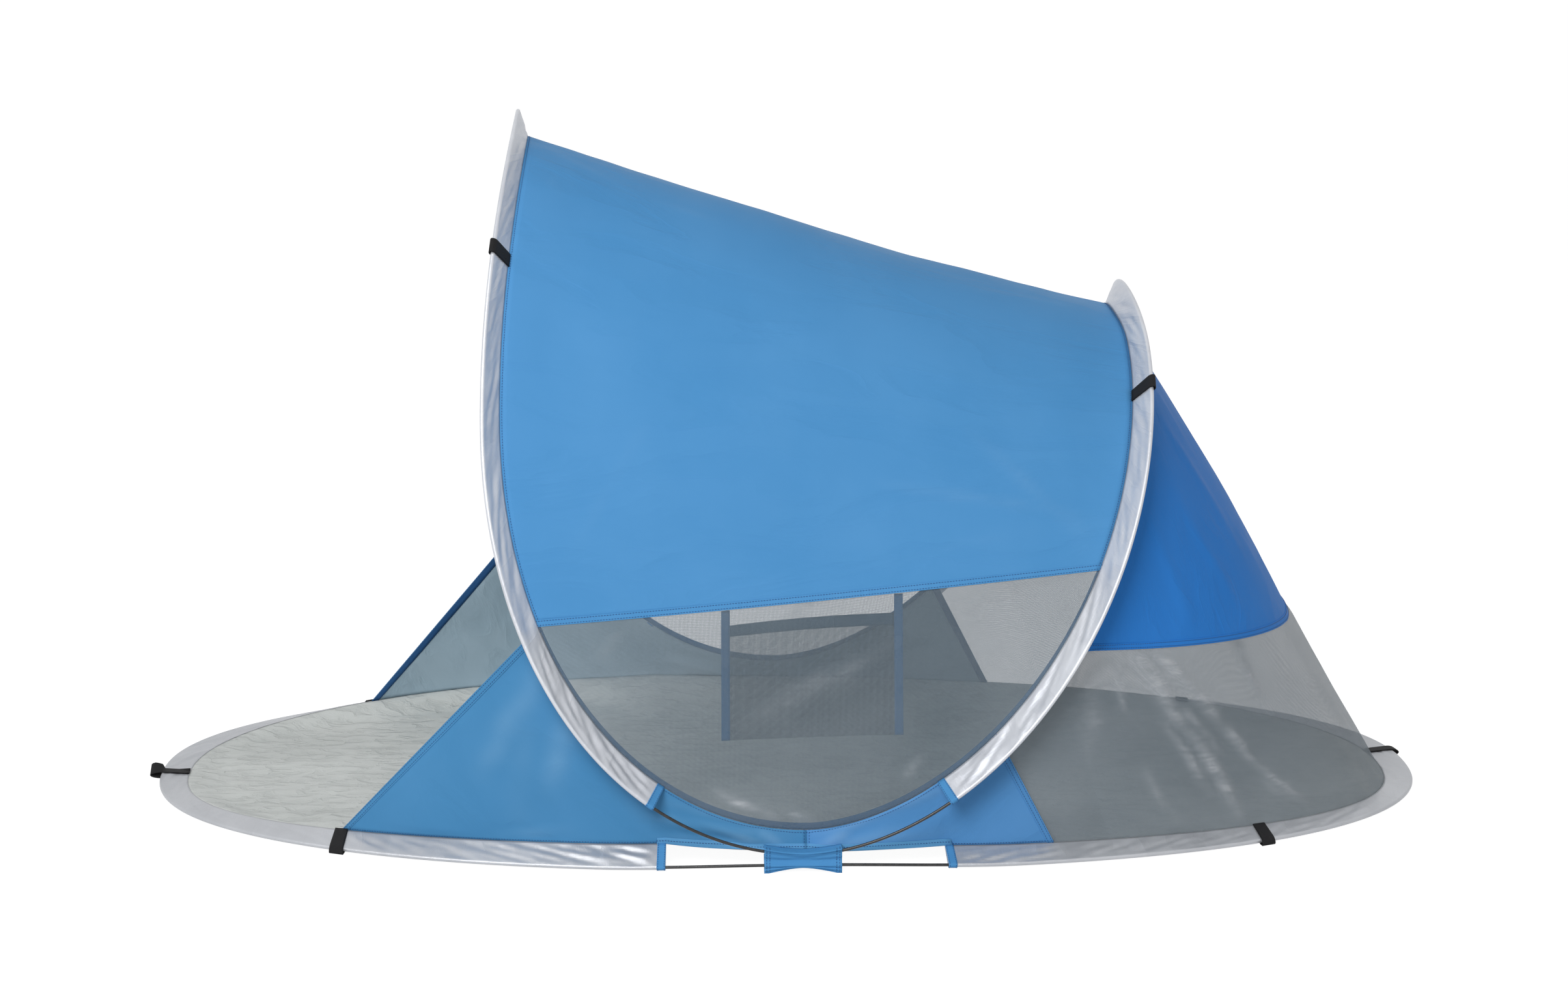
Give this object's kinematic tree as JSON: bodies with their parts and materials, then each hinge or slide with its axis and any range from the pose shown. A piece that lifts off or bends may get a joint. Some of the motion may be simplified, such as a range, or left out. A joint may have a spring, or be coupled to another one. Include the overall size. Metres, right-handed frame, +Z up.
{
  "type": "pop-up beach tent",
  "caption": "Pop-up beach tent: two sprung rod loops in cloth sleeves carry a roof, mesh windows, wings and a floor, and its front half folds back over the rear at the waist.",
  "frame": {"origin": "on the ground, at the centre of the footprint, midway between the two waist sleeves", "axes": "-X to the porch, +X to the rear wall, -Y to the side with the pocket, +Z up"},
  "size_m": [2.2138, 1.2158, 1.1671],
  "materials": {
    "rod": "black fibreglass rod with a soft shine",
    "sleeve_cloth": "silver coated cloth, lightly wrinkled",
    "light_blue_cloth": "light blue polyester with a slight sheen",
    "deep_blue_cloth": "deeper blue polyester with a slight sheen",
    "grey_mesh": "fine grey see-through netting",
    "navy_tape": "navy woven tape",
    "webbing": "black woven webbing",
    "floor_cloth": "grey coated floor cloth, finely creased",
    "ferrule_metal": "bright drawn tube"
  },
  "bodies": {
    "rear_half": {"floor_rear_rod": "rod", "arch_rear_rod": "rod", "floor_rear_sleeve": "sleeve_cloth", "arch_rear_sleeve": "sleeve_cloth", "roof_panel": "light_blue_cloth", "rear_flap_near": "light_blue_cloth", "rear_flap_far": "light_blue_cloth", "waist_gusset_near": "light_blue_cloth", "waist_gusset_far": "light_blue_cloth", "waist_sleeve_near": "light_blue_cloth", "waist_sleeve_far": "light_blue_cloth", "floor_rear_cuff_near": "light_blue_cloth", "floor_rear_cuff_far": "light_blue_cloth", "arch_rear_cuff_near": "light_blue_cloth", "arch_rear_cuff_far": "light_blue_cloth", "rear_wall_panel": "deep_blue_cloth", "window_near": "grey_mesh", "window_far": "grey_mesh", "rear_wall_mesh": "grey_mesh", "pocket_mesh": "grey_mesh", "window_binding_near": "navy_tape", "window_binding_far": "navy_tape", "pocket_band": "navy_tape", "pocket_tape_front": "navy_tape", "pocket_tape_rear": "navy_tape", "floor_rear_loop_near": "webbing", "floor_rear_loop_far": "webbing", "arch_rear_loop_near": "webbing", "arch_rear_loop_far": "webbing", "rear_tip_loop": "webbing", "floor_sheet_rear": "floor_cloth", "floor_rod_ferrule": "ferrule_metal", "arch_rod_ferrule": "ferrule_metal"},
    "front_half": {"floor_front_rod": "rod", "floor_front_sleeve": "sleeve_cloth", "floor_front_cuff_near": "light_blue_cloth", "floor_front_cuff_far": "light_blue_cloth", "arch_front_rod": "rod", "arch_front_sleeve": "sleeve_cloth", "arch_front_cuff_near": "light_blue_cloth", "arch_front_cuff_far": "light_blue_cloth", "floor_front_loop_near": "webbing", "floor_front_loop_far": "webbing", "arch_front_loop_near": "webbing", "arch_front_loop_far": "webbing", "front_tip_loop": "webbing", "wing_near": "light_blue_cloth", "wing_far": "light_blue_cloth", "floor_sheet_front": "floor_cloth"}
  },
  "joints": [
    {"name": "front_fold", "type": "hinge", "parent": "rear_half", "child": "front_half", "pos_m": [0, 0, 0.0345], "axis": [0, 1, 0], "range_deg": [0, 55], "stiffness_Nm_per_rad": 3, "springref_deg": -20.05, "deforming": ["roof_panel", "window_near", "window_far", "window_binding_near", "window_binding_far", "waist_gusset_near", "waist_gusset_far", "waist_sleeve_near", "waist_sleeve_far", "pocket_mesh", "pocket_band", "pocket_tape_front", "pocket_tape_rear"]}
  ]
}
